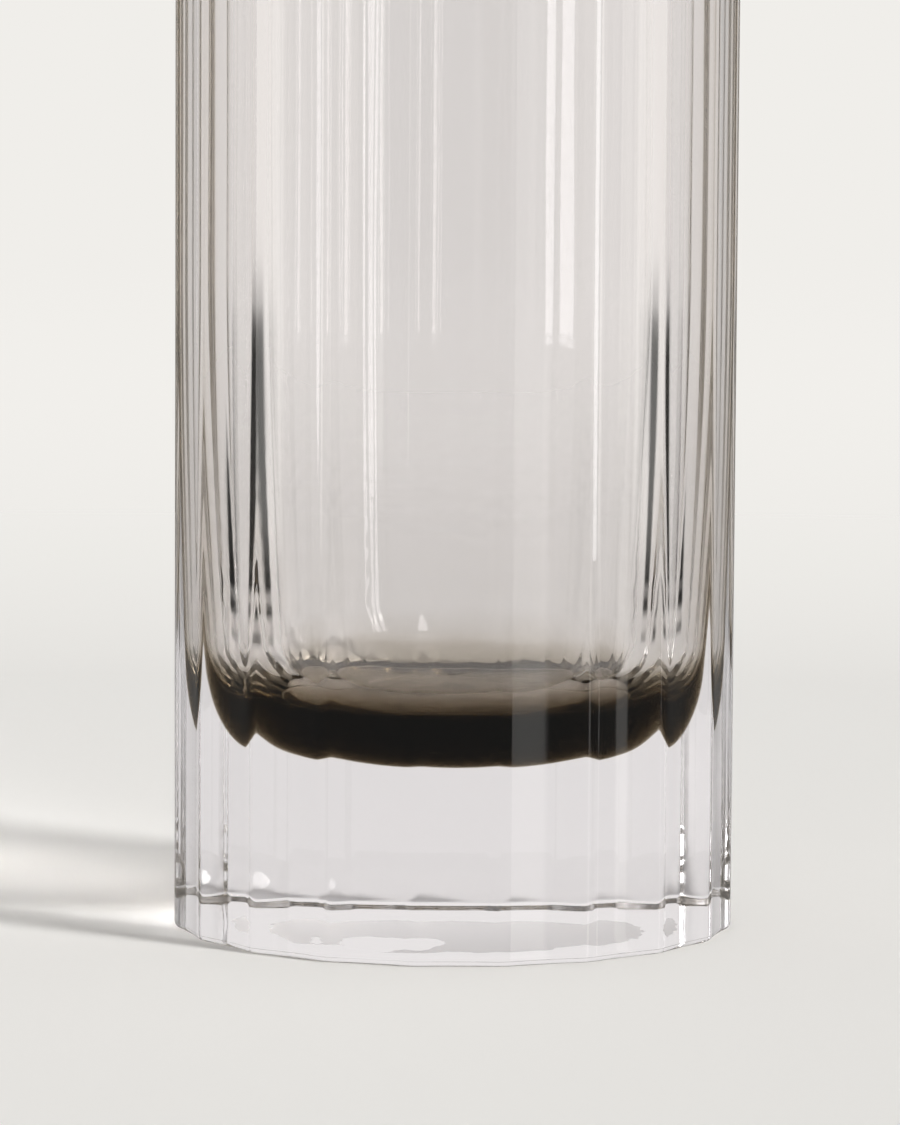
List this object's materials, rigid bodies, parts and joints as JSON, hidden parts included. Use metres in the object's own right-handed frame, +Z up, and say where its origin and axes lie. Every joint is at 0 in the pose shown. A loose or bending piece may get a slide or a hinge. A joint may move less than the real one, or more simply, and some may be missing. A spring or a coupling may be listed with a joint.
{
  "type": "glass cylinder vase",
  "caption": "Tall cased-glass cylinder vase with shallow vertical flutes, a heavy clear base and a smoke-grey lining, holding cut flowers in water.",
  "frame": {"origin": "centre of the foot, on the surface that the vase stands on", "axes": "+Z up along the vase's axis; +X runs through a ridge between two flutes"},
  "size_m": [0.1, 0.1, 0.25],
  "materials": {
    "clear_glass": "clear crystal glass, polished",
    "smoke_glass": "smoke-grey glass, polished, almost black where it is thick"
  },
  "bodies": {
    "root": {"clear_casing": "clear_glass", "smoke_lining": "smoke_glass"}
  },
  "joints": []
}
